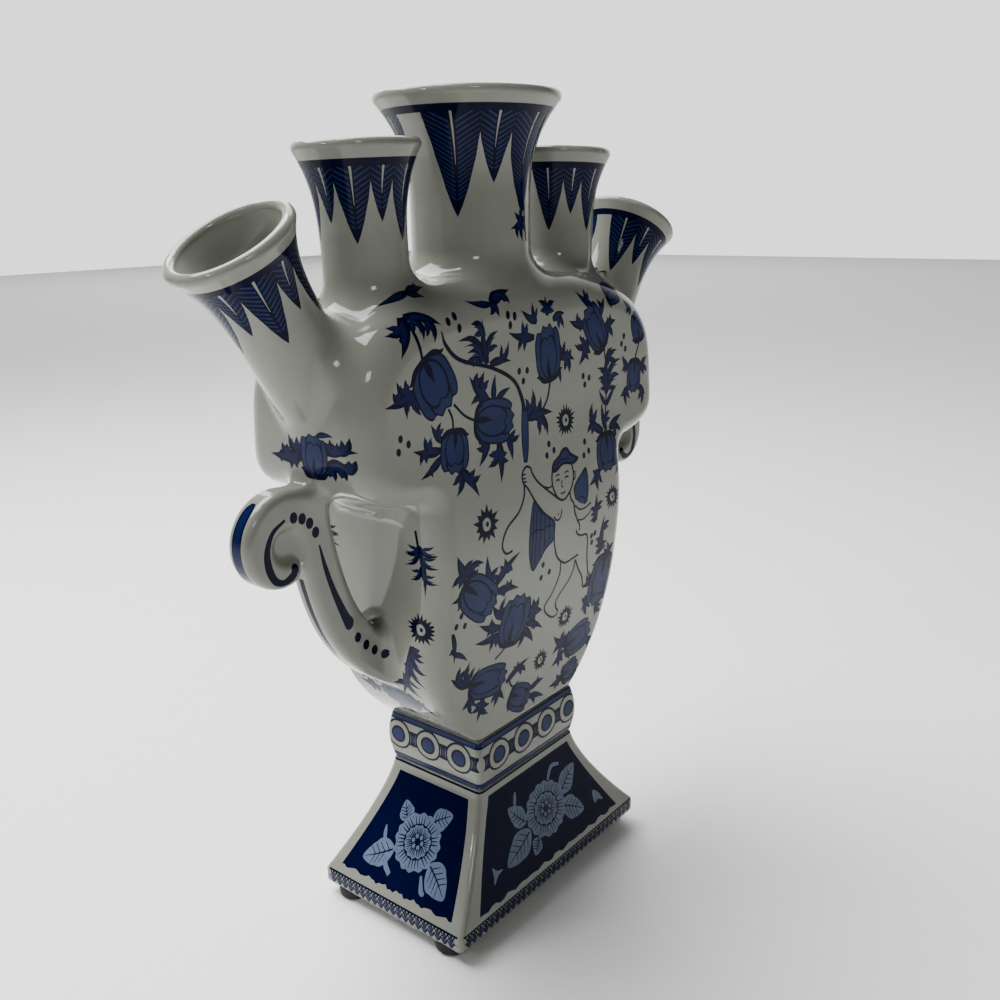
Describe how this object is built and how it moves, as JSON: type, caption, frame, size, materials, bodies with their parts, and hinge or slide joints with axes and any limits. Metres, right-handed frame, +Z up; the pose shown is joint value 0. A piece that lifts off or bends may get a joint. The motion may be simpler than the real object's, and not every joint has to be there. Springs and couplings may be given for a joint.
{
  "type": "five-necked tulip vase",
  "caption": "White glazed ceramic flower vase painted in cobalt blue, with a row of flared necks, scroll handles and a square foot.",
  "frame": {"origin": "on the resting plane, under the middle of the foot, at the bottom of the rubber pads", "axes": "+Z up, X along the row of necks, front face towards -Y"},
  "size_m": [0.2156, 0.0638, 0.2669],
  "materials": {
    "painted_glaze": "gloss",
    "cobalt_glaze": "gloss",
    "pad_rubber": "matte"
  },
  "bodies": {
    "root": {"vase_body": "painted_glaze", "neck_middle": "painted_glaze", "neck_inner_left": "painted_glaze", "neck_inner_right": "painted_glaze", "neck_outer_left": "painted_glaze", "neck_outer_right": "painted_glaze", "handle_left": "painted_glaze", "handle_right": "painted_glaze", "collar": "painted_glaze", "foot": "cobalt_glaze", "foot_pad_front_left": "pad_rubber", "foot_pad_front_right": "pad_rubber", "foot_pad_back_left": "pad_rubber", "foot_pad_back_right": "pad_rubber"}
  },
  "joints": []
}
